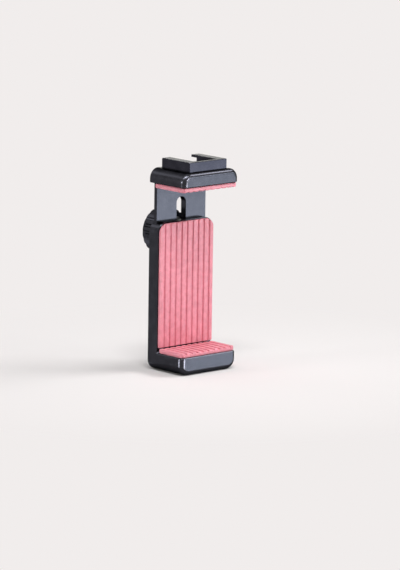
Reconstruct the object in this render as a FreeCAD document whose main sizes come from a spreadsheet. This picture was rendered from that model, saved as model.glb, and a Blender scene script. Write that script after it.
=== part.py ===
import FreeCAD, Part
import math
import os

import Sketcher

# Tripod phone mount adapter: an aluminium clamp that grips a phone between two padded jaws.
# The frame stands on the lower jaw: +Z up, the phone's screen faces -Y, X runs along the phone.
# The origin is the mouth of the tripod thread, in the middle of the lower jaw's bottom face.
# All sizes are in millimetres and live in the document's spreadsheet.

SIZES = [
    # The two jaws
    ("jaw_width", 31.6, "both jaws, along X"),
    ("jaw_depth", 22.6, "both jaws, along Y"),
    ("lower_jaw_height", 7.8, "lower jaw, along Z"),
    ("upper_jaw_height", 6.2, "upper jaw, along Z"),
    ("jaw_corner_radius", 4.4, "outer side corners, seen from the front"),
    ("front_edge_radius", 2.1, "rounding all round the front face"),
    ("rear_edge_bevel", 0.6, "all round the rear face"),
    ("seat_edge_bevel", 0.3, "edges round the faces that carry pads"),
    ("grip_opening", 69.7, "between the pads, as photographed"),
    ("grip_closed", 56.0, "between the pads, closed"),
    ("grip_stroke", 34.0, "travel of the upper jaw, closed to open"),
    # The silicone pads
    ("pad_thickness", 2.1, "jaw pads over their ribs"),
    ("backrest_pad_thickness", 1.2, "back plate pad over its ribs"),
    ("pad_inset", 0.4, "pad edge from the jaw's edge"),
    ("pad_gap", 0.2, "between a pad and the next piece"),
    ("pad_rear_radius", 0.6, "rear corners of the pads"),
    ("rib_count", 10, "ribs of each pad"),
    ("rib_groove_width", 1.0, "groove between ribs"),
    ("rib_groove_depth", 0.6, "jaw pads"),
    ("backrest_groove_depth", 0.5, "back plate pad"),
    ("rib_edge_bevel", 0.4, "long edges of each rib"),
    ("rib_end_bevel", 0.6, "ribs' ends at the mouth of the clamp"),
    # The back plate and its T-slot
    ("back_depth", 6.2, "back plate with its slot, along Y"),
    ("wall_thickness", 2.8, "back plate in front of the slot"),
    ("back_top_gap", 1.3, "plate's top under the closed upper pad"),
    ("back_corner_radius", 4.5, "top corners of the back plate"),
    ("inner_corner_radius", 1.0, "between jaw and plate"),
    ("rail_thickness", 1.6, "sides of the slot"),
    ("lip_overlap", 2.2, "slot lip over the tongue's shoulder"),
    ("lip_thickness", 1.4, "slot lip, along Y"),
    ("slot_end_gap", 0.7, "under the tongue when closed"),
    ("slide_clearance", 0.1, "tongue in the slot, front and back"),
    ("side_clearance", 0.2, "tongue in the slot, each side"),
    # The upper jaw's tongue
    ("tongue_root", 3.0, "tongue inside the jaw"),
    ("tongue_bevel", 1.8, "lower corners of the tongue"),
    ("tongue_bridge", 4.0, "metal below the long hole"),
    ("stud_play", 0.2, "stud in the long hole, all round"),
    # The lock: stud, washers and knob
    ("stud_below_top", 6.5, "stud's axis under the plate's top"),
    ("stud_diameter", 5.0, "M5"),
    ("thread_pitch", 0.8, "M5"),
    ("knob_turns", 1.5, "from tight to the clip"),
    ("head_width", 8.0, "stud's square head"),
    ("head_thickness", 1.5, "stud's square head"),
    ("head_bevel", 0.3, "rear edge of the square head"),
    ("fixed_fit", 0.03, "pressed and glued pieces, radial"),
    ("stud_tail", 1.0, "stud past its clip"),
    ("stud_tail_bevel", 0.4, "end of the stud"),
    ("clip_thickness", 0.6, "retaining clip"),
    ("clip_diameter", 8.6, "retaining clip"),
    ("clip_groove_diameter", 4.0, "groove in the stud"),
    ("clip_opening", 3.4, "mouth of the retaining clip"),
    ("clip_play", 0.05, "clip in its groove"),
    ("washer_diameter", 14.0, "all three washers"),
    ("washer_play", 0.05, "tongue to first washer, and washers round the stud"),
    ("friction_washer_thickness", 0.8, "nylon"),
    ("thrust_washer_thickness", 0.8, "steel"),
    ("wave_washer_thickness", 0.6, "spring steel, pressed flat"),
    ("wave_washer_diameter", 11.6, "spring steel"),
    ("knob_diameter", 20.0, "over the grip"),
    ("knob_length", 9.0, "along Y"),
    ("hub_diameter", 15.0, "plain collar at the front of the knob"),
    ("hub_length", 1.4, "plain collar at the front of the knob"),
    ("knob_edge_bevel", 0.7, "front and rear edge of the grip"),
    ("flute_count", 20, "grip flutes round the knob"),
    ("flute_width", 1.7, "each flute, at the rim"),
    ("flute_floor", 0.7, "flat floor of each flute"),
    ("flute_depth", 0.6, "each flute"),
    ("insert_diameter", 8.0, "brass insert"),
    ("insert_length", 4.6, "brass insert"),
    ("cap_diameter", 12.0, "knob cap"),
    ("cap_thickness", 1.0, "knob cap rim"),
    ("cap_rise", 0.6, "the cap's middle over its rim"),
    ("cap_slope", 1.4, "width of the slope round the cap"),
    ("well_diameter", 10.4, "hollow behind the insert"),
    # The thread bushes
    ("bush_diameter", 8.4, "outside of both bushes"),
    ("bush_length", 5.4, "both bushes"),
    ("tripod_bore_radius", 3.2, "quarter inch thread, crests left plain"),
    ("rear_bush_height", 9.0, "rear bush's axis above the bottom face"),
    # The cold shoe
    ("shoe_width", 21.5, "outside, along X"),
    ("shoe_depth", 18.0, "outside, along Y"),
    ("shoe_floor", 1.0, "floor under the slot"),
    ("shoe_slot_height", 2.1, "takes a 2 mm foot"),
    ("shoe_slot_width", 18.7, "takes an 18.6 mm foot"),
    ("shoe_mouth_width", 12.6, "between the two lips"),
    ("shoe_lip", 1.1, "lips over the slot"),
    ("shoe_stop", 1.5, "front stop wall"),
    ("shoe_edge_bevel", 0.25, "outer edges of the shoe"),
    ("screw_spacing", 8.0, "between the two shoe screws, along Y"),
    ("screw_diameter", 2.0, "M2"),
    ("screw_head_diameter", 3.7, "countersunk head"),
    ("screw_length", 4.6, "head and shank"),
    ("screw_key", 1.3, "hexagon socket, across flats"),
    ("screw_key_depth", 0.7, "hexagon socket"),
]


class Size:
    """A size that carries both its value and the spreadsheet formula behind it."""

    def __init__(self, value, formula):
        self.value = float(value)
        self.formula = formula

    def join(self, other, sign, value):
        return Size(value, "(" + self.formula + " " + sign + " " + as_size(other).formula + ")")

    def __add__(self, other):
        return self.join(other, "+", self.value + as_size(other).value)

    def __sub__(self, other):
        return self.join(other, "-", self.value - as_size(other).value)

    def __mul__(self, other):
        return self.join(other, "*", self.value * as_size(other).value)

    def __truediv__(self, other):
        return self.join(other, "/", self.value / as_size(other).value)

    def __neg__(self):
        return as_size(0) - self


def as_size(number):
    """Turn a plain number into a size, and leave a size as it is."""
    return number if isinstance(number, Size) else Size(number, repr(float(number)))


class SizeSheet:
    """The spreadsheet of driving sizes, each of them also an attribute."""

    def __init__(self, document):
        sheet = document.addObject("Spreadsheet::Sheet", "Sizes")
        for row, (name, number, note) in enumerate(SIZES, start=1):
            sheet.set("A%d" % row, name)
            sheet.set("B%d" % row, str(number))
            sheet.set("C%d" % row, note)
            sheet.setAlias("B%d" % row, name)
            setattr(self, name, Size(number, "Sizes." + name))
        document.recompute()


doc = FreeCAD.newDocument("TripodPhoneMount")
s = SizeSheet(doc)

# Half the distance across a hexagon's corners, for each millimetre across its flats
HEXAGON_CORNER = 0.57735

# The numbers that a sketch gives to the two ends and the centre of a shape
START = 1
END = 2
CENTRE = 3
QUARTER_TURN = math.pi / 2

# Places that several pieces share, all worked out from the sheet
ORIGIN = as_size(0)
side_x = s.jaw_width / 2
front_y = -s.jaw_depth / 2
rear_y = s.jaw_depth / 2
wall_front_y = rear_y - s.back_depth
wall_rear_y = wall_front_y + s.wall_thickness
lower_pad_top = s.lower_jaw_height + s.pad_thickness
upper_jaw_z = lower_pad_top + s.grip_opening + s.pad_thickness
back_height = lower_pad_top + s.grip_closed - s.back_top_gap
stud_z = back_height - s.stud_below_top
stud_radius = s.stud_diameter / 2

# The tongue hangs from the upper jaw: these heights count from that jaw's underside
long_hole_radius = stud_radius + s.stud_play
long_hole_top = stud_z - upper_jaw_z + s.grip_opening - s.grip_closed
long_hole_bottom = long_hole_top - s.grip_stroke
tongue_end = long_hole_bottom - long_hole_radius - s.tongue_bridge
slot_floor_z = upper_jaw_z + tongue_end - s.grip_opening + s.grip_closed - s.slot_end_gap

slot_half = side_x - s.rail_thickness
slot_mouth_half = slot_half - s.lip_overlap
lip_front_y = rear_y - s.lip_thickness
tongue_front_y = wall_rear_y + s.slide_clearance
tongue_shoulder_y = lip_front_y - s.slide_clearance
tongue_rear_y = rear_y - s.slide_clearance
tongue_half = slot_half - s.side_clearance
tongue_rib_half = slot_mouth_half - s.side_clearance

friction_washer_y = tongue_rear_y + s.washer_play
thrust_washer_y = friction_washer_y + s.friction_washer_thickness
wave_washer_y = thrust_washer_y + s.thrust_washer_thickness
knob_y = wave_washer_y + s.wave_washer_thickness
knob_travel = s.knob_turns * s.thread_pitch
clip_y = knob_y + s.insert_length + knob_travel + s.clip_play

pad_half = side_x - s.pad_inset
shoe_height = s.shoe_floor + s.shoe_slot_height + s.shoe_lip


# Helpers that draw constrained sketches and bound features

def bind(thing, name, size):
    """Tie a property, or a constraint, to the sheet."""
    thing.setExpression(name, as_size(size).formula)


def new_body(label, at=(ORIGIN, ORIGIN, ORIGIN), turn=None):
    """Start a sub-part with its label and its placement."""
    body = doc.addObject("PartDesign::Body", label)
    body.Label = label
    if turn is not None:
        body.Placement.Rotation = turn
    for axis, place in zip("xyz", at):
        bind(body, "Placement.Base." + axis, place)
    return body


def sketch_on(body, plane, offset=ORIGIN):
    """Attach a sketch to one of the body's own planes, lifted along the plane's normal."""
    sketch = body.newObject("Sketcher::SketchObject", "sketch_of_" + body.Label)
    support = next(f for f in body.Origin.OriginFeatures if f.Role == plane)
    sketch.AttachmentSupport = [(support, "")]
    sketch.MapMode = "FlatFace"
    bind(sketch, "AttachmentOffset.Base.z", offset)
    return sketch


def vector(place):
    x, y = place
    return FreeCAD.Vector(x.value, y.value, 0)


def rule(sketch, kind, size, *items):
    """Add a constraint whose value is tied to the sheet."""
    number = sketch.addConstraint(Sketcher.Constraint(kind, *items, size.value))
    bind(sketch, "Constraints[%d]" % number, size)


def pin(sketch, shape, point, x, y):
    """Hold one point of a sketched shape at a place."""
    rule(sketch, "DistanceX", x, -1, START, shape, point)
    rule(sketch, "DistanceY", y, -1, START, shape, point)


def join(sketch, shape, point, other_shape, other_point):
    sketch.addConstraint(Sketcher.Constraint("Coincident", shape, point, other_shape, other_point))


def circle(sketch, radius, x=ORIGIN, y=ORIGIN):
    shape = Part.Circle(vector((x, y)), FreeCAD.Vector(0, 0, 1), radius.value)
    curve = sketch.addGeometry(shape, False)
    pin(sketch, curve, CENTRE, x, y)
    rule(sketch, "Radius", radius, curve)


def on_circle(x, y, radius, quarters):
    """The point of a circle that lies some whole quarter turns from the sketch's X axis."""
    across, up = ((1, 0), (0, 1), (-1, 0), (0, -1))[quarters % 4]
    return x + radius * across, y + radius * up


def arc(sketch, x, y, radius, first, last):
    """Draw an arc round a centre. Its two ends are counted in quarter turns."""
    whole = Part.Circle(vector((x, y)), FreeCAD.Vector(0, 0, 1), radius.value)
    low, high = sorted((first, last))
    piece = Part.ArcOfCircle(whole, low * QUARTER_TURN, high * QUARTER_TURN)
    curve = sketch.addGeometry(piece, False)
    pin(sketch, curve, CENTRE, x, y)
    rule(sketch, "Radius", radius, curve)
    for point, quarters in ((START, low), (END, high)):
        kind, place = ("DistanceX", x) if quarters % 2 else ("DistanceY", y)
        rule(sketch, kind, place, -1, START, curve, point)
    return curve


def outline(sketch, stops):
    """Draw a closed outline through its stops, with a straight line from each to the next.

    A stop is a corner (x, y), or an arc (x, y, radius, first, last) round a centre.
    """
    ways = []
    for x, y, *bend in stops:
        place = as_size(x), as_size(y)
        if bend:
            radius, first, last = bend
            curve = arc(sketch, *place, radius, first, last)
            turns = (START, END) if first < last else (END, START)
            ways.append((on_circle(*place, radius, first), on_circle(*place, radius, last),
                         (curve, turns[0]), (curve, turns[1])))
        else:
            ways.append((place, place, None, None))

    lines = []
    for way, next_way in zip(ways, ways[1:] + ways[:1]):
        line = Part.LineSegment(vector(way[1]), vector(next_way[0]))
        lines.append(sketch.addGeometry(line, False))
    for line_in, line_out, (place, _, arc_in, arc_out) in zip(lines[-1:] + lines[:-1], lines, ways):
        if arc_in:
            join(sketch, line_in, END, *arc_in)
            join(sketch, line_out, START, *arc_out)
        else:
            join(sketch, line_in, END, line_out, START)
            pin(sketch, line_out, START, *place)


def rectangle(sketch, low_x, low_y, high_x, high_y):
    outline(sketch, [(low_x, low_y), (high_x, low_y), (high_x, high_y), (low_x, high_y)])


def add_feature(body, kind, sketch, length=None, forward=False, both_sides=False):
    """Add a pad, pocket, revolution or groove and check that it changed the solid."""
    before = body.Tip.Shape.Volume if body.Tip else 0.0
    feature = body.newObject("PartDesign::" + kind, kind.lower() + "_of_" + body.Label)
    feature.Profile = (sketch, [""])
    if kind in ("Pad", "Pocket"):
        bind(feature, "Length", length)
        feature.Reversed = forward
        feature.SideType = "Symmetric" if both_sides else "One side"
    else:
        feature.ReferenceAxis = (sketch, ["V_Axis"])
        feature.Angle = 360
    doc.recompute()
    change = feature.Shape.Volume - before
    if (change > 0) != (kind in ("Pad", "Revolution")) or abs(change) < 0.001:
        raise ValueError("%s of %s changed its volume by %g" % (kind, body.Label, change))
    return feature


def same(value, size):
    return abs(value - size.value) < 0.001


def lies_at(edge, axis, size):
    """True where the whole edge lies at one coordinate."""
    box = edge.BoundBox
    return same(getattr(box, axis + "Min"), size) and same(getattr(box, axis + "Max"), size)


def soften(body, kind, measure, size, wanted):
    """Round or bevel the edges of the body's last shape that pass the test."""
    base = body.Tip
    edges = ["Edge%d" % (i + 1) for i, edge in enumerate(base.Shape.Edges) if wanted(edge)]
    if not edges:
        raise ValueError("no edge to soften on " + body.Label)
    feature = body.newObject("PartDesign::" + kind, kind.lower() + "_of_" + body.Label)
    feature.Base = (base, edges)
    bind(feature, measure, size)
    doc.recompute()


def round_edges(body, radius, wanted):
    soften(body, "Fillet", "Radius", radius, wanted)


def bevel_edges(body, size, wanted):
    soften(body, "Chamfer", "Size", size, wanted)


def repeat_in_line(body, feature, sketch, length, count):
    pattern = body.newObject("PartDesign::LinearPattern", "row_of_" + body.Label)
    pattern.Originals = [feature]
    pattern.Direction = (sketch, ["H_Axis"])
    bind(pattern, "Length", length)
    bind(pattern, "Occurrences", count)
    body.Tip = pattern
    doc.recompute()


def ring(label, outer_radius, inner_radius, thickness, y):
    """A flat washer round the stud's axis, its front face at y."""
    body = new_body(label, at=(ORIGIN, y, stud_z))
    sketch = sketch_on(body, "XZ_Plane")
    circle(sketch, outer_radius)
    circle(sketch, inner_radius)
    add_feature(body, "Pad", sketch, thickness, forward=True)
    return body


# Lower jaw and back plate, machined as one piece

def make_base_bracket():
    body = new_body("base_bracket")
    profile = sketch_on(body, "YZ_Plane")
    outline(profile, [
        (front_y, 0), (rear_y, 0), (rear_y, back_height), (wall_front_y, back_height),
        (wall_front_y, s.lower_jaw_height), (front_y, s.lower_jaw_height)])
    add_feature(body, "Pad", profile, s.jaw_width, both_sides=True)

    def at_side(edge):
        return lies_at(edge, "X", side_x) or lies_at(edge, "X", -side_x)

    round_edges(body, s.jaw_corner_radius, lambda e: at_side(e) and lies_at(e, "Z", ORIGIN))
    round_edges(body, s.back_corner_radius, lambda e: at_side(e) and lies_at(e, "Z", back_height))
    round_edges(body, s.inner_corner_radius,
                lambda e: lies_at(e, "Y", wall_front_y) and lies_at(e, "Z", s.lower_jaw_height))
    round_edges(body, s.front_edge_radius,
                lambda e: lies_at(e, "Y", front_y) and not lies_at(e, "Z", s.lower_jaw_height))
    bevel_edges(body, s.rear_edge_bevel, lambda e: lies_at(e, "Y", rear_y))
    bevel_edges(body, s.seat_edge_bevel,
                lambda e: lies_at(e, "Y", wall_front_y) and not same(e.Length, s.jaw_width))

    # The T-slot that the tongue slides in, open at the top and at the rear
    slot = sketch_on(body, "XY_Plane", slot_floor_z)
    past_rear_y = rear_y + s.lip_thickness
    outline(slot, [
        (-slot_half, wall_rear_y), (slot_half, wall_rear_y), (slot_half, lip_front_y),
        (slot_mouth_half, lip_front_y), (slot_mouth_half, past_rear_y),
        (-slot_mouth_half, past_rear_y), (-slot_mouth_half, lip_front_y),
        (-slot_half, lip_front_y)])
    add_feature(body, "Pocket", slot, back_height - slot_floor_z + s.back_top_gap, forward=True)

    # The stud's hole and the square recess for its head
    recess = sketch_on(body, "XZ_Plane", -wall_front_y)
    recess_half = s.head_width / 2 + s.fixed_fit
    rectangle(recess, -recess_half, stud_z - recess_half, recess_half, stud_z + recess_half)
    add_feature(body, "Pocket", recess, s.head_thickness)
    hole = sketch_on(body, "XZ_Plane", -wall_front_y)
    circle(hole, stud_radius + s.fixed_fit, ORIGIN, stud_z)
    add_feature(body, "Pocket", hole, s.wall_thickness)

    # The seats of the two thread bushes
    bottom = sketch_on(body, "XY_Plane")
    circle(bottom, s.bush_diameter / 2 + s.fixed_fit)
    add_feature(body, "Pocket", bottom, s.bush_length, forward=True)
    rear = sketch_on(body, "XZ_Plane", -rear_y)
    circle(rear, s.bush_diameter / 2 + s.fixed_fit, ORIGIN, s.rear_bush_height)
    add_feature(body, "Pocket", rear, s.bush_length, forward=True)
    return body


# Upper jaw and its tongue, machined as one piece

def make_upper_jaw():
    body = new_body("upper_jaw", at=(ORIGIN, ORIGIN, upper_jaw_z))
    block = sketch_on(body, "XZ_Plane")
    rectangle(block, -side_x, ORIGIN, side_x, s.upper_jaw_height)
    add_feature(body, "Pad", block, s.jaw_depth, both_sides=True)
    round_edges(body, s.jaw_corner_radius,
                lambda e: lies_at(e, "Z", s.upper_jaw_height) and not same(e.Length, s.jaw_width))
    round_edges(body, s.front_edge_radius,
                lambda e: lies_at(e, "Y", front_y) and not lies_at(e, "Z", ORIGIN))
    bevel_edges(body, s.rear_edge_bevel,
                lambda e: lies_at(e, "Y", rear_y) and not lies_at(e, "Z", ORIGIN))
    bevel_edges(body, s.seat_edge_bevel, lambda e: lies_at(e, "Z", ORIGIN))

    # The tongue: a wide plate under the slot's lips and a rib between them
    for half, low_y, high_y in ((tongue_half, tongue_front_y, tongue_shoulder_y),
                                (tongue_rib_half, tongue_shoulder_y, tongue_rear_y)):
        plate = sketch_on(body, "XZ_Plane", -low_y)
        bevel_x = half - s.tongue_bevel
        bevel_z = tongue_end + s.tongue_bevel
        outline(plate, [
            (-bevel_x, tongue_end), (bevel_x, tongue_end), (half, bevel_z),
            (half, s.tongue_root), (-half, s.tongue_root), (-half, bevel_z)])
        add_feature(body, "Pad", plate, high_y - low_y, forward=True)

    # The long hole that rides on the stud, and whose ends stop the jaw
    hole = sketch_on(body, "XZ_Plane", -tongue_front_y)
    outline(hole, [(ORIGIN, long_hole_top, long_hole_radius, 0, 2),
                   (ORIGIN, long_hole_bottom, long_hole_radius, 2, 4)])
    add_feature(body, "Pocket", hole, rear_y - tongue_front_y)

    for y in (-s.screw_spacing / 2, s.screw_spacing / 2):
        screw_hole(body, y, s.upper_jaw_height + s.shoe_floor)
    return body


# The cold shoe and its two screws

def screw_profile(sketch, top_z, play):
    """Half section of a countersunk screw whose head is flush at top_z."""
    head = s.screw_head_diameter / 2 + play
    shank = s.screw_diameter / 2 + play
    cone_end = top_z - (head - shank)
    end = top_z - s.screw_length - play
    outline(sketch, [(0, end), (shank, end), (shank, cone_end), (head, top_z), (0, top_z)])


def screw_hole(body, y, top_z):
    sketch = sketch_on(body, "XZ_Plane", -y)
    screw_profile(sketch, top_z, s.fixed_fit)
    add_feature(body, "Groove", sketch)


def make_cold_shoe():
    body = new_body("cold_shoe", at=(ORIGIN, ORIGIN, upper_jaw_z + s.upper_jaw_height))
    half_width = s.shoe_width / 2
    half_depth = s.shoe_depth / 2
    block = sketch_on(body, "XY_Plane")
    rectangle(block, -half_width, -half_depth, half_width, half_depth)
    add_feature(body, "Pad", block, shoe_height)
    bevel_edges(body, s.shoe_edge_bevel, lambda e: not lies_at(e, "Z", ORIGIN))

    # The slot for an accessory's foot runs in from the rear, under two lips, to the stop wall
    slot = sketch_on(body, "XZ_Plane", -half_depth)
    slot_side = s.shoe_slot_width / 2
    mouth = s.shoe_mouth_width / 2
    lip_z = s.shoe_floor + s.shoe_slot_height
    over_z = shoe_height + s.shoe_lip
    outline(slot, [
        (-slot_side, s.shoe_floor), (slot_side, s.shoe_floor), (slot_side, lip_z),
        (mouth, lip_z), (mouth, over_z), (-mouth, over_z), (-mouth, lip_z), (-slot_side, lip_z)])
    add_feature(body, "Pocket", slot, s.shoe_depth - s.shoe_stop, forward=True)
    for y in (-s.screw_spacing / 2, s.screw_spacing / 2):
        screw_hole(body, y, s.shoe_floor)
    return body


def make_cold_shoe_screws():
    floor_z = upper_jaw_z + s.upper_jaw_height + s.shoe_floor
    body = new_body("cold_shoe_screws", at=(ORIGIN, ORIGIN, floor_z))
    corner = s.screw_key * HEXAGON_CORNER
    for y in (-s.screw_spacing / 2, s.screw_spacing / 2):
        section = sketch_on(body, "XZ_Plane", -y)
        screw_profile(section, ORIGIN, ORIGIN)
        add_feature(body, "Revolution", section)
        socket = sketch_on(body, "XY_Plane")
        flat = s.screw_key / 2
        outline(socket, [
            (corner, y), (corner / 2, y + flat), (-corner / 2, y + flat),
            (-corner, y), (-corner / 2, y - flat), (corner / 2, y - flat)])
        add_feature(body, "Pocket", socket, s.screw_key_depth)
    return body


# The silicone pads: ribs run along the pad's own Y axis and face its own +Z

def rib_groove(sketch, x, floor, top):
    """Section of a groove that bevels the ribs beside it."""
    half = s.rib_groove_width / 2
    bevel = s.rib_edge_bevel
    outline(sketch, [
        (x - half, floor), (x + half, floor), (x + half, top - bevel), (x + half + bevel, top),
        (x - half - bevel, top), (x - half, top - bevel)])


def make_pad(label, at, turn, low_y, high_y, thickness, groove_depth, low_radius, high_radius):
    body = new_body(label, at=at, turn=turn)
    sheet = sketch_on(body, "XY_Plane")
    low_x = low_radius - pad_half
    high_x = high_radius - pad_half
    outline(sheet, [
        (low_x, low_y + low_radius, low_radius, 2, 3),
        (-low_x, low_y + low_radius, low_radius, 3, 4),
        (-high_x, high_y - high_radius, high_radius, 0, 1),
        (high_x, high_y - high_radius, high_radius, 1, 2)])
    add_feature(body, "Pad", sheet, thickness)

    rib_pitch = (pad_half * 2 + s.rib_groove_width) / s.rib_count
    first_groove = rib_pitch - pad_half - s.rib_groove_width / 2
    groove = sketch_on(body, "XZ_Plane", -high_y)
    rib_groove(groove, first_groove, thickness - groove_depth, thickness)
    cut = add_feature(body, "Pocket", groove, high_y - low_y, forward=True)
    repeat_in_line(body, cut, groove, rib_pitch * (s.rib_count - 2), s.rib_count - 1)

    bevel = s.rib_end_bevel
    end = sketch_on(body, "YZ_Plane")
    outline(end, [
        (low_y - bevel, thickness - bevel * 2), (low_y + bevel * 2, thickness + bevel),
        (low_y - bevel, thickness + bevel)])
    add_feature(body, "Pocket", end, s.jaw_width, both_sides=True)
    return body


def make_pads():
    corner = s.front_edge_radius - s.pad_inset
    lower_end_y = wall_front_y - s.inner_corner_radius - s.pad_gap
    make_pad("lower_jaw_pad", (ORIGIN, ORIGIN, s.lower_jaw_height), None,
             front_y + s.pad_inset, lower_end_y,
             s.pad_thickness, s.rib_groove_depth, corner, s.pad_rear_radius)
    upside_down = FreeCAD.Rotation(FreeCAD.Vector(0, 1, 0), 180)
    make_pad("upper_jaw_pad", (ORIGIN, ORIGIN, upper_jaw_z), upside_down,
             front_y + s.pad_inset, tongue_front_y - s.pad_gap,
             s.pad_thickness, s.rib_groove_depth, corner, s.pad_rear_radius)
    facing_front = FreeCAD.Rotation(FreeCAD.Vector(1, 0, 0), 90)
    make_pad("backrest_pad", (ORIGIN, wall_front_y, ORIGIN), facing_front,
             lower_pad_top + s.pad_gap, back_height - s.pad_inset,
             s.backrest_pad_thickness, s.backrest_groove_depth,
             s.pad_rear_radius, s.back_corner_radius - s.pad_inset)


# Steel thread bushes for the tripod screw

def make_bush(label, at, turn):
    body = new_body(label, at=at, turn=turn)
    sketch = sketch_on(body, "XY_Plane")
    circle(sketch, s.bush_diameter / 2)
    circle(sketch, s.tripod_bore_radius)
    add_feature(body, "Pad", sketch, s.bush_length)
    return body


def make_bushes():
    make_bush("bottom_thread_bush", (ORIGIN, ORIGIN, ORIGIN), None)
    into_rear = FreeCAD.Rotation(FreeCAD.Vector(1, 0, 0), 90)
    make_bush("rear_thread_bush", (ORIGIN, rear_y, s.rear_bush_height), into_rear)


# The lock: a stud through plate and tongue, washers, and the knob that pulls them together

def make_lock_stud():
    body = new_body("lock_stud", at=(ORIGIN, wall_front_y, stud_z))
    head = sketch_on(body, "XZ_Plane")
    half = s.head_width / 2
    rectangle(head, -half, -half, half, half)
    add_feature(body, "Pad", head, s.head_thickness, forward=True)
    bevel_edges(body, s.head_bevel, lambda e: lies_at(e, "Y", s.head_thickness))

    groove_start = clip_y - s.clip_play - wall_front_y
    groove_end = groove_start + s.clip_thickness + s.clip_play * 2
    end = groove_end + s.stud_tail
    groove_radius = s.clip_groove_diameter / 2
    inside_head = s.head_thickness / 2
    section = sketch_on(body, "XY_Plane")
    outline(section, [
        (0, inside_head), (stud_radius, inside_head), (stud_radius, groove_start),
        (groove_radius, groove_start), (groove_radius, groove_end), (stud_radius, groove_end),
        (stud_radius, end - s.stud_tail_bevel), (stud_radius - s.stud_tail_bevel, end), (0, end)])
    add_feature(body, "Revolution", section)
    return body


def make_stud_clip():
    body = new_body("stud_clip", at=(ORIGIN, clip_y, stud_z))
    sketch = sketch_on(body, "XZ_Plane")
    outer = s.clip_diameter / 2
    circle(sketch, outer)
    circle(sketch, s.clip_groove_diameter / 2 + s.clip_play)
    add_feature(body, "Pad", sketch, s.clip_thickness, forward=True)
    mouth = sketch_on(body, "XZ_Plane")
    half = s.clip_opening / 2
    rectangle(mouth, -half, -outer, half, ORIGIN)
    add_feature(body, "Pocket", mouth, s.clip_thickness)
    return body


def make_washers():
    hole = stud_radius + s.washer_play
    wide = s.washer_diameter / 2
    ring("friction_washer", wide, hole, s.friction_washer_thickness, friction_washer_y)
    ring("thrust_washer", wide, hole, s.thrust_washer_thickness, thrust_washer_y)
    ring("wave_washer", s.wave_washer_diameter / 2, hole, s.wave_washer_thickness, wave_washer_y)


def make_lock_knob():
    body = new_body("lock_knob", at=(ORIGIN, knob_y, stud_z))
    bore = s.insert_diameter / 2 + s.fixed_fit
    well = s.well_diameter / 2
    seat = s.cap_diameter / 2 + s.fixed_fit
    seat_y = s.knob_length - s.cap_thickness
    hub = s.hub_diameter / 2
    grip = s.knob_diameter / 2
    bevel = s.knob_edge_bevel
    section = sketch_on(body, "XY_Plane")
    outline(section, [
        (bore, 0), (hub, 0), (hub, s.hub_length), (grip - bevel, s.hub_length),
        (grip, s.hub_length + bevel), (grip, s.knob_length - bevel),
        (grip - bevel, s.knob_length), (seat, s.knob_length), (seat, seat_y),
        (well, seat_y), (well, s.insert_length), (bore, s.insert_length)])
    add_feature(body, "Revolution", section)

    flute = sketch_on(body, "XZ_Plane", -s.hub_length)
    floor_z = grip - s.flute_depth
    rim_z = grip + s.flute_depth
    widening = (s.flute_width - s.flute_floor) / 2
    outline(flute, [
        (-s.flute_floor / 2, floor_z), (s.flute_floor / 2, floor_z),
        (s.flute_floor / 2 + widening * 2, rim_z), (-s.flute_floor / 2 - widening * 2, rim_z)])
    cut = add_feature(body, "Pocket", flute, s.knob_length - s.hub_length)
    pattern = body.newObject("PartDesign::PolarPattern", "flutes_of_" + body.Label)
    pattern.Originals = [cut]
    axis = next(f for f in body.Origin.OriginFeatures if f.Role == "Y_Axis")
    pattern.Axis = (axis, [""])
    pattern.Angle = 360
    bind(pattern, "Occurrences", s.flute_count)
    body.Tip = pattern
    doc.recompute()
    return body


def make_knob_insert():
    radius = s.insert_diameter / 2
    return ring("knob_insert", radius, stud_radius + s.washer_play, s.insert_length, knob_y)


def make_knob_cap():
    """A disc with a raised middle, pressed into the rear of the knob."""
    body = new_body("knob_cap", at=(ORIGIN, knob_y + s.knob_length - s.cap_thickness, stud_z))
    rim = s.cap_diameter / 2
    top = s.cap_thickness + s.cap_rise
    section = sketch_on(body, "XY_Plane")
    outline(section, [(0, 0), (rim, 0), (rim, s.cap_thickness), (rim - s.cap_slope, top), (0, top)])
    add_feature(body, "Revolution", section)
    return body


def check_and_write():
    """Stop if anything failed to build, then write one STEP file for each sub-part."""
    doc.recompute()
    for thing in doc.Objects:
        if "Invalid" in thing.State or "Error" in thing.State:
            raise ValueError("%s failed: %s" % (thing.Label, thing.State))
    os.makedirs("parts", exist_ok=True)
    for body in doc.findObjects("PartDesign::Body"):
        if body.Shape.isNull() or not body.Shape.isValid():
            raise ValueError(body.Label + " has no valid shape")
        body.Shape.exportStep("parts/" + body.Label + ".step")


make_base_bracket()
make_upper_jaw()
make_cold_shoe()
make_cold_shoe_screws()
make_pads()
make_bushes()
make_lock_stud()
make_stud_clip()
make_washers()
make_lock_knob()
make_knob_insert()
make_knob_cap()
check_and_write()
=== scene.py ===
import math

import bmesh
import bpy
from mathutils import Matrix, Vector


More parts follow.
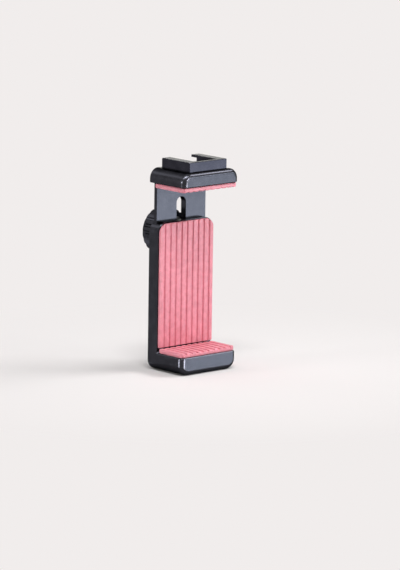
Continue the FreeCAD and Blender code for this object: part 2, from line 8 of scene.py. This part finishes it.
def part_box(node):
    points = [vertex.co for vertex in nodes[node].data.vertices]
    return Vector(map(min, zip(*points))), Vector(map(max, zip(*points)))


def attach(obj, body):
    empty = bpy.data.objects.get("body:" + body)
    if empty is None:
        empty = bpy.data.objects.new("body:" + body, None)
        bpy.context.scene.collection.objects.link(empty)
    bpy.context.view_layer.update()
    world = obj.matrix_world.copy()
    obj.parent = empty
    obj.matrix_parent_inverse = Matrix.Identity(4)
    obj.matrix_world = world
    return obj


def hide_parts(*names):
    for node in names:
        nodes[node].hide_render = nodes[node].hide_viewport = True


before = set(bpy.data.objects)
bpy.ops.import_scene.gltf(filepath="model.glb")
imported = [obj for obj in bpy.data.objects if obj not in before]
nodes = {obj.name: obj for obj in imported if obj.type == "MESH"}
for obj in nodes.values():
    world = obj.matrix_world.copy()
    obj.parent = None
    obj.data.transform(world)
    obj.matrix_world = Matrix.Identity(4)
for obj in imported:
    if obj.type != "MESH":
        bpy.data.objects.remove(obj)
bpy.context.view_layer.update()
MM = 0.001


# Camera, from the viewpoint of the photograph

IMAGE_HEIGHT_PX = 570
FOCAL_LENGTH_PX = 4189
SENSOR_MM = 36.0
NEAREST = 0.01
FARTHEST = 50.0
CAMERA_AZIMUTH = -42.0
CAMERA_ELEVATION = 10.5
CAMERA_ROLL = 0.87
CAMERA_DISTANCE = 1.81
CAMERA_TARGET = Vector((4.35, 0.0, 36.25)) * MM


def direction(azimuth, elevation):
    """The unit vector towards a place seen from the object. Azimuth 0 is the front, -Y."""
    a = math.radians(azimuth)
    e = math.radians(elevation)
    return Vector((math.sin(a) * math.cos(e), -math.cos(a) * math.cos(e), math.sin(e)))


def make_camera():
    data = bpy.data.cameras.new("camera")
    data.sensor_width = SENSOR_MM
    data.lens = FOCAL_LENGTH_PX * SENSOR_MM / IMAGE_HEIGHT_PX
    data.clip_start = NEAREST
    data.clip_end = FARTHEST
    camera = bpy.data.objects.new("camera", data)
    bpy.context.scene.collection.objects.link(camera)
    back = direction(CAMERA_AZIMUTH, CAMERA_ELEVATION)
    camera.rotation_mode = "QUATERNION"
    camera.location = CAMERA_TARGET + back * CAMERA_DISTANCE
    level = (-back).to_track_quat("-Z", "Y")
    roll = Matrix.Rotation(math.radians(CAMERA_ROLL), 4, back).to_quaternion()
    camera.rotation_quaternion = roll @ level
    bpy.context.scene.camera = camera


# Node-based materials. NOISE_LOW and NOISE_HIGH hold most of a noise's values, and a pair of
# colours is the darker and the lighter shade of one finish.

NOISE_LOW = 0.3
NOISE_HIGH = 0.7
CLOUD_DETAIL = 3.0
BLACK_DYE = ((0.0285, 0.0290, 0.0350), (0.0365, 0.0370, 0.0445))
DEEPER_BLACK_DYE = ((0.022, 0.022, 0.029), (0.028, 0.028, 0.036))
GRAZING_TINT = (0.40, 0.40, 0.387, 1.0)
RED = ((0.66, 0.18, 0.235), (0.78, 0.24, 0.31))
STEEL = ((0.33, 0.33, 0.34), (0.41, 0.41, 0.42))
STEEL_ROUGHNESS = 0.25
BRASS = ((0.62, 0.44, 0.17), (0.76, 0.57, 0.26))
BRASS_ROUGHNESS = 0.26
NYLON = ((0.016, 0.016, 0.018), (0.030, 0.030, 0.034))


class Shader:
    """A material with short ways to add and join nodes. Lengths are in metres."""

    def __init__(self, name):
        self.material = bpy.data.materials.new(name)
        self.material.use_nodes = True
        self.tree = self.material.node_tree
        self.surface = self.tree.nodes["Principled BSDF"]
        self.output = self.tree.nodes["Material Output"]
        self.place = self.add("ShaderNodeTexCoord").outputs["Object"]

    def add(self, kind, **values):
        """Add a node and set some of its properties."""
        node = self.tree.nodes.new(kind)
        for name, value in values.items():
            setattr(node, name, value)
        return node

    def link(self, source, target):
        self.tree.links.new(source, target)

    def put(self, **values):
        """Set plain values on the surface shader, with _ for each space in a socket's name."""
        for name, value in values.items():
            self.surface.inputs[name.replace("_", " ")].default_value = value

    def noise(self, scale, detail):
        """Noise with `scale` cells in a metre."""
        node = self.add("ShaderNodeTexNoise")
        node.inputs["Scale"].default_value = scale
        node.inputs["Detail"].default_value = detail
        self.link(self.place, node.inputs["Vector"])
        return node.outputs["Fac"]

    def distance(self, stretch):
        """Distance from the object's own origin, with each axis stretched first."""
        stretched = self.add("ShaderNodeVectorMath", operation="MULTIPLY")
        stretched.inputs[1].default_value = stretch
        self.link(self.place, stretched.inputs[0])
        length = self.add("ShaderNodeVectorMath", operation="LENGTH")
        self.link(stretched.outputs["Vector"], length.inputs[0])
        return length.outputs["Value"]

    def span(self, value, low, high, from_low=NOISE_LOW, from_high=NOISE_HIGH):
        """Map a value from one range to another."""
        node = self.add("ShaderNodeMapRange")
        self.link(value, node.inputs["Value"])
        node.inputs["From Min"].default_value = from_low
        node.inputs["From Max"].default_value = from_high
        node.inputs["To Min"].default_value = low
        node.inputs["To Max"].default_value = high
        return node.outputs["Result"]

    def product(self, first, second):
        node = self.add("ShaderNodeMath", operation="MULTIPLY")
        self.link(first, node.inputs[0])
        self.link(second, node.inputs[1])
        return node.outputs["Value"]

    def cloud(self, scale, dark, light):
        """Colour the surface unevenly between two shades, and return the noise behind it."""
        noise = self.noise(scale, CLOUD_DETAIL)
        ramp = self.add("ShaderNodeValToRGB")
        ramp.color_ramp.elements[0].color = (*dark, 1)
        ramp.color_ramp.elements[1].color = (*light, 1)
        self.link(self.span(noise, 0, 1), ramp.inputs["Fac"])
        self.link(ramp.outputs["Color"], self.surface.inputs["Base Color"])
        return noise

    def roughen(self, noise, low, high):
        """Let the roughness follow a noise between two values."""
        self.link(self.span(noise, low, high), self.surface.inputs["Roughness"])

    def bump(self, height, distance):
        """Let the surface's grain follow a height from 0 to 1, as deep as `distance`."""
        node = self.add("ShaderNodeBump")
        node.inputs["Distance"].default_value = distance
        self.link(height, node.inputs["Height"])
        self.link(node.outputs["Normal"], self.surface.inputs["Normal"])

    def cover(self, share, top):
        """Mix another shader over all that the material shows so far."""
        below = self.output.inputs["Surface"].links[0].from_socket
        mix = self.add("ShaderNodeMixShader")
        self.link(share, mix.inputs["Fac"])
        self.link(below, mix.inputs[1])
        self.link(top, mix.inputs[2])
        self.link(mix.outputs["Shader"], self.output.inputs["Surface"])


def anodised(name, dark, light):
    """Bead-blasted aluminium, dyed black, with a faint cloudiness in its dye."""
    shader = Shader(name)
    shader.put(Metallic=1.0, Specular_Tint=GRAZING_TINT)
    noise = shader.cloud(scale=260, dark=dark, light=light)
    shader.roughen(noise, low=0.19, high=0.26)
    shader.bump(shader.noise(scale=5200, detail=1.0), distance=0.003 * MM)
    return shader.material


def silicone(name, dark, light):
    """Matt moulded rubber with a soft bloom and a very fine grain."""
    shader = Shader(name)
    shader.put(Roughness=0.55, Subsurface_Weight=0.12, Subsurface_Radius=(1.0, 0.25, 0.2),
               Subsurface_Scale=0.8 * MM, Sheen_Weight=0.25, Sheen_Roughness=0.5,
               Specular_IOR_Level=0.5)
    shader.cloud(scale=420, dark=dark, light=light)
    shader.bump(shader.noise(scale=6500, detail=2.0), distance=0.02 * MM)
    return shader.material


def turned_metal(name, dark, light, roughness, axis):
    """Metal off the lathe: fine rings round one axis."""
    shader = Shader(name)
    shader.put(Metallic=1.0)
    rings = shader.add("ShaderNodeTexWave", wave_type="RINGS", rings_direction=axis)
    rings.inputs["Scale"].default_value = 1500
    rings.inputs["Distortion"].default_value = 0.6
    shader.link(shader.place, rings.inputs["Vector"])
    noise = shader.cloud(scale=500, dark=dark, light=light)
    shader.roughen(noise, low=roughness - 0.05, high=roughness + 0.07)
    shader.bump(rings.outputs["Fac"], distance=0.006 * MM)
    return shader.material


def nylon(name, dark, light):
    """Plain dark engineering plastic with a dull, slightly uneven skin."""
    shader = Shader(name)
    shader.put(Roughness=0.5, Specular_IOR_Level=0.4)
    noise = shader.cloud(scale=700, dark=dark, light=light)
    shader.bump(noise, distance=0.03 * MM)
    return shader.material


def dress(node, material):
    """Give a carried-over solid its material."""
    solid = nodes[node]
    solid.data.materials.clear()
    solid.data.materials.append(material)


def smooth_piece(mesh, name, material, sharp_degrees):
    """Turn a new mesh into a piece that is smooth save at its sharp edges."""
    bmesh.ops.recalc_face_normals(mesh, faces=mesh.faces)
    data = bpy.data.meshes.new(name)
    mesh.to_mesh(data)
    mesh.free()
    for polygon in data.polygons:
        polygon.use_smooth = True
    data.set_sharp_from_angle(angle=math.radians(sharp_degrees))
    data.materials.append(material)
    piece = bpy.data.objects.new(name, data)
    bpy.context.scene.collection.objects.link(piece)
    return piece


# The silicone pads: each stands in for its solid, with fully rounded ribs

RIB_COUNT = 10
GROOVE_WIDTH = 1.0 * MM
RIB_ROUNDING = 0.5 * MM
ROUNDING_SHARES = (0.0, 0.03, 0.10, 0.22, 0.40, 0.65, 1.0)
STEPS_ACROSS_A_RIB = 2
STEPS_ALONG_A_RIB = 6
FOOT_HEIGHT = 0.45 * MM
FOOT_INSET = 0.45 * MM
JAW_PAD_GROOVE = 0.6 * MM
JAW_PAD_FRONT_RADIUS = 1.7 * MM
JAW_PAD_REAR_RADIUS = 0.6 * MM
BACKREST_GROOVE = 0.5 * MM
BACKREST_BOTTOM_RADIUS = 0.6 * MM
BACKREST_TOP_RADIUS = 4.1 * MM
PAD_SHARP_DEGREES = 50


def rounded(distance, radius):
    """Height of a rounded edge, from 0 at the edge to 1 at `radius` away from it."""
    share = min(1.0, max(0.0, distance / radius))
    return math.sqrt(1 - (1 - share) ** 2)


def stations(start, end, middle_steps):
    """Places along a rib or across it, closer together where it rounds over."""
    turn = [RIB_ROUNDING * share for share in ROUNDING_SHARES]
    flat = end - start - 2 * RIB_ROUNDING
    middle = [RIB_ROUNDING + flat * i / middle_steps for i in range(1, middle_steps)]
    return [start + d for d in turn + middle] + [end - d for d in reversed(turn)]


def rib_columns(width):
    """Places across all the ribs, each with its distance from its own rib's edge."""
    rib = (width - (RIB_COUNT - 1) * GROOVE_WIDTH) / RIB_COUNT
    columns = []
    for number in range(RIB_COUNT):
        start = number * (rib + GROOVE_WIDTH) - width / 2
        places = stations(start, start + rib, STEPS_ACROSS_A_RIB)
        columns += [(x, min(x - start, start + rib - x)) for x in places]
    return columns


def corner_cut(x, half, radius):
    """How far a pad's round corners cut its end back at one x."""
    past = max(0.0, abs(x) - (half - radius))
    return radius - math.sqrt(max(0.0, radius * radius - past * past))


def outline(lines):
    """What lies round the edge of a grid, once round."""
    return ([line[0] for line in lines] + lines[-1][1:]
            + [line[-1] for line in reversed(lines[:-1])] + lines[0][-2:0:-1])


def ribbed_pad(name, body, material, width, ends, radii, thickness, groove_depth, place):
    """A sheet of ribs over its own XY plane, put in place by a function of (x, y, z)."""
    low, high = ends
    half = width / 2
    middle = (low + high) / 2
    tuck_x = 1 - FOOT_INSET / half
    tuck_y = 1 - FOOT_INSET / (high - middle)
    mesh = bmesh.new()
    tops = []
    rims = []
    feet = []
    for x, inside in rib_columns(width):
        start = low + corner_cut(x, half, radii[0])
        end = high - corner_cut(x, half, radii[1])
        places = stations(start, end, STEPS_ALONG_A_RIB)
        top_line = []
        for y in places:
            to_end = min(y - start, end - y)
            rise = min(rounded(inside, RIB_ROUNDING), rounded(to_end, RIB_ROUNDING))
            top_line.append(mesh.verts.new(place(x, y, thickness - groove_depth * (1 - rise))))
        tops.append(top_line)
        rims.append([(x, y) for y in places])
        feet.append([mesh.verts.new(place(x * tuck_x, middle + (y - middle) * tuck_y, 0.0))
                     for y in places])

    for lines, flip in ((tops, False), (feet, True)):
        for line, next_line in zip(lines, lines[1:]):
            for i in range(len(line) - 1):
                corners = [line[i], next_line[i], next_line[i + 1], line[i + 1]]
                mesh.faces.new(reversed(corners) if flip else corners)
    rim = [mesh.verts.new(place(x, y, FOOT_HEIGHT)) for x, y in outline(rims)]
    for upper, lower in ((outline(tops), rim), (rim, outline(feet))):
        for i in range(len(upper)):
            j = (i + 1) % len(upper)
            mesh.faces.new([upper[i], lower[i], lower[j], upper[j]])

    piece = smooth_piece(mesh, name, material, PAD_SHARP_DEGREES)
    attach(piece, body)
    return piece


def make_pads():
    """The pads of both jaws, the upper one upside down, and the backrest's, which faces front."""
    material = silicone("silicone_red", *RED)
    for node, body, upside_down in (("lower_jaw_pad", "bracket", False),
                                    ("upper_jaw_pad", "slider", True)):
        low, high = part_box(node)

        def place(x, y, z):
            return (x, y, high.z - z if upside_down else low.z + z)

        piece = ribbed_pad(node + "_ribs", body, material, high.x - low.x, (low.y, high.y),
                           (JAW_PAD_FRONT_RADIUS, JAW_PAD_REAR_RADIUS), high.z - low.z,
                           JAW_PAD_GROOVE, place)
        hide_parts(node)

    low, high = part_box("backrest_pad")
    piece = ribbed_pad("backrest_pad_ribs", "bracket", material, high.x - low.x,
                       (low.z, high.z), (BACKREST_BOTTOM_RADIUS, BACKREST_TOP_RADIUS),
                       high.y - low.y, BACKREST_GROOVE, lambda x, y, z: (x, high.y - z, y))
    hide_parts("backrest_pad")


# The quarter inch threads in the two steel bushes, which the solids leave plain

THREAD_PITCH = 1.27 * MM
THREAD_CREST = 2.62 * MM
THREAD_ROOT = 3.24 * MM
THREAD_MARGIN = 0.35 * MM
THREAD_SHARP_DEGREES = 30
STEPS_IN_A_TURN = 40
RUN_OUT_STEPS = 12
LEAST_RUN_OUT = 0.05
HALF_FOOT_SHARE = 0.46
CREST_SHARE = 0.12


def cut_thread(name, bush_length, material, place):
    """A helical ridge in a bush's bore, put in place by a function of (x, y, depth)."""
    length = bush_length - 2 * THREAD_MARGIN
    steps = int(STEPS_IN_A_TURN * length / THREAD_PITCH)
    mesh = bmesh.new()
    rows = []
    for i in range(steps + 1):
        angle = 2 * math.pi * i / STEPS_IN_A_TURN
        depth = THREAD_MARGIN + length * i / steps
        run_out = min(1.0, i / RUN_OUT_STEPS, (steps - i) / RUN_OUT_STEPS)
        crest = THREAD_ROOT - (THREAD_ROOT - THREAD_CREST) * run_out
        half = HALF_FOOT_SHARE * THREAD_PITCH * max(run_out, LEAST_RUN_OUT)
        profile = ((THREAD_ROOT, -half), (crest, -CREST_SHARE * half),
                   (crest, CREST_SHARE * half), (THREAD_ROOT, half))
        rows.append([mesh.verts.new(place(radius * math.cos(angle), radius * math.sin(angle),
                                          depth + along))
                     for radius, along in profile])
    for row, next_row in zip(rows, rows[1:]):
        for i in range(len(row)):
            j = (i + 1) % len(row)
            mesh.faces.new([row[i], row[j], next_row[j], next_row[i]])
    mesh.faces.new(reversed(rows[0]))
    mesh.faces.new(rows[-1])
    piece = smooth_piece(mesh, name, material, THREAD_SHARP_DEGREES)
    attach(piece, "bracket")


def cut_threads(down, back):
    """The threads of the bush under the lower jaw, which starts at Z = 0, and of the rear one."""
    low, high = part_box("bottom_thread_bush")
    cut_thread("bottom_bush_thread", high.z - low.z, down, lambda x, y, depth: (x, y, depth))
    low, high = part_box("rear_thread_bush")
    middle = (low + high) / 2
    cut_thread("rear_bush_thread", high.y - low.y, back,
               lambda x, y, depth: (middle.x + x, high.y - depth, middle.z + y))


# Stage and light

BACKDROP = (0.879, 0.847, 0.840)
WORLD_LIGHT = (0.20, 0.20, 0.20)
COOL = (0.84, 0.93, 1.0)
WHITE = (1.0, 1.0, 1.0)
LIGHT_HEIGHT = 0.045
FLOOR_RADIUS = 0.25
FLOOR_SEGMENTS = 96
FLOOR_DROP = 0.02 * MM
FADE_START = 30 * MM
FADE_END = 150 * MM
POLISH_START = 16.5 * MM
POLISH_END = 19.5 * MM
POLISH_SHARE = 0.95
POLISH_ROUGHNESS = 0.12
ROUND = (1.0, 1.0, 1.0)
OVAL = (0.75, 1.0, 1.0)


def looking_rays(tree):
    """1 for rays from the camera, a reflection or a clear solid, and 0 for others."""
    path = tree.nodes.new("ShaderNodeLightPath")
    seen = path.outputs["Is Camera Ray"]
    for kind in ("Is Glossy Ray", "Is Transmission Ray"):
        either = tree.nodes.new("ShaderNodeMath")
        either.operation = "MAXIMUM"
        tree.links.new(seen, either.inputs[0])
        tree.links.new(path.outputs[kind], either.inputs[1])
        seen = either.outputs["Value"]
    return seen


def fade_out(shader, colour):
    """Let the camera and reflections see one plain colour away from the object's shadow."""
    glow = shader.add("ShaderNodeEmission")
    glow.inputs["Color"].default_value = (*colour, 1)
    fade = shader.span(shader.distance(ROUND), 0, 1, FADE_START, FADE_END)
    shader.cover(shader.product(looking_rays(shader.tree), fade), glow.outputs["Emission"])


def polish(shader):
    """Let the object's own reflections see a polished surface, save close under the object."""
    gloss = shader.add("ShaderNodeBsdfAnisotropic")
    gloss.inputs["Color"].default_value = (*WHITE, 1)
    gloss.inputs["Roughness"].default_value = POLISH_ROUGHNESS
    path = shader.add("ShaderNodeLightPath")
    share = shader.span(shader.distance(OVAL), 0, POLISH_SHARE, POLISH_START, POLISH_END)
    shader.cover(shader.product(path.outputs["Is Glossy Ray"], share), gloss.outputs["BSDF"])


def make_floor():
    """A pale floor that keeps the shadow near the object and fades into the backdrop."""
    mesh = bmesh.new()
    bmesh.ops.create_circle(mesh, cap_ends=True, segments=FLOOR_SEGMENTS, radius=FLOOR_RADIUS)
    data = bpy.data.meshes.new("floor")
    mesh.to_mesh(data)
    mesh.free()
    floor = bpy.data.objects.new("floor", data)
    floor.location.z = -FLOOR_DROP
    bpy.context.scene.collection.objects.link(floor)
    shader = Shader("floor_pale")
    shader.put(Base_Color=(*BACKDROP, 1), Roughness=0.9, Specular_IOR_Level=0.0)
    fade_out(shader, BACKDROP)
    polish(shader)
    data.materials.append(shader.material)


def make_world():
    """A dim grey light from all round, which looks like the backdrop when it is seen."""
    world = bpy.data.worlds.new("world")
    bpy.context.scene.world = world
    world.use_nodes = True
    tree = world.node_tree
    ramp = tree.nodes.new("ShaderNodeValToRGB")
    ramp.color_ramp.elements[0].color = (*WORLD_LIGHT, 1)
    ramp.color_ramp.elements[1].color = (*BACKDROP, 1)
    tree.links.new(looking_rays(tree), ramp.inputs["Fac"])
    tree.links.new(ramp.outputs["Color"], tree.nodes["Background"].inputs["Color"])


def panel(name, azimuth, elevation, distance, width, height, radiance, colour=WHITE,
          reflector=False):
    """A soft box that faces the object. A reflector shows in glossy surfaces alone."""
    data = bpy.data.lights.new(name, "AREA")
    data.shape = "RECTANGLE"
    data.size = width
    data.size_y = height
    data.energy = radiance * math.pi * width * height
    data.color = colour
    lamp = bpy.data.objects.new(name, data)
    bpy.context.scene.collection.objects.link(lamp)
    towards = direction(azimuth, elevation)
    lamp.location = Vector((0, 0, LIGHT_HEIGHT)) + towards * distance
    lamp.rotation_mode = "QUATERNION"
    lamp.rotation_quaternion = towards.to_track_quat("Z", "Y")
    lamp.visible_camera = False
    lamp.visible_diffuse = not reflector


def make_light():
    # Name, azimuth, elevation, distance, width, height, radiance
    panel("key_high", 46, 7.3, 0.9, 0.50, 0.09, 11.4, COOL)
    panel("front_high", 21, 10, 0.9, 0.17, 0.11, 20.0)
    panel("left_high", -110, 10, 0.9, 0.17, 0.11, 30.0)
    panel("top_right", 62, 42, 0.9, 0.40, 0.17, 17.0)
    panel("over_camera", -40, 62, 1.0, 0.40, 0.22, 15.5)
    panel("overhead", 0, 88, 1.2, 0.90, 0.90, 0.4)
    panel("back_low", 155, 0, 0.9, 1.10, 0.40, 2.4)
    panel("back_soft", -165, 34, 1.0, 0.50, 0.26, 2.0)
    panel("key_low", 46, -9.6, 0.9, 0.50, 0.15, 6.7, COOL, reflector=True)
    panel("front_low", 21, -10, 0.9, 0.17, 0.11, 66.0, reflector=True)
    panel("left_low", -110, -10, 0.9, 0.14, 0.11, 9.0, reflector=True)
    panel("corner_glint", -46, 65, 0.95, 1.50, 0.22, 16.0, reflector=True)
    panel("front_glint", 17, 10, 0.92, 0.34, 0.13, 46.0, reflector=True)
    panel("left_glint", -112, 10, 0.92, 0.30, 0.13, 30.0, reflector=True)


# The whole scene

bpy.context.scene.view_settings.view_transform = "Standard"
make_camera()
make_world()
make_floor()
make_light()

black = anodised("anodised_black", *BLACK_DYE)
for solid_name in ("base_bracket", "upper_jaw", "lock_knob", "knob_cap"):
    dress(solid_name, black)
dress("cold_shoe", anodised("anodised_black_shoe", *DEEPER_BLACK_DYE))
steel_down = turned_metal("steel_turned_z", *STEEL, STEEL_ROUGHNESS, "Z")
steel_back = turned_metal("steel_turned_y", *STEEL, STEEL_ROUGHNESS, "Y")
for solid_name in ("bottom_thread_bush", "cold_shoe_screws"):
    dress(solid_name, steel_down)
for solid_name in ("rear_thread_bush", "lock_stud", "stud_clip", "thrust_washer", "wave_washer"):
    dress(solid_name, steel_back)
dress("friction_washer", nylon("nylon_black", *NYLON))
dress("knob_insert", turned_metal("brass_turned", *BRASS, BRASS_ROUGHNESS, "Y"))
cut_threads(steel_down, steel_back)
make_pads()
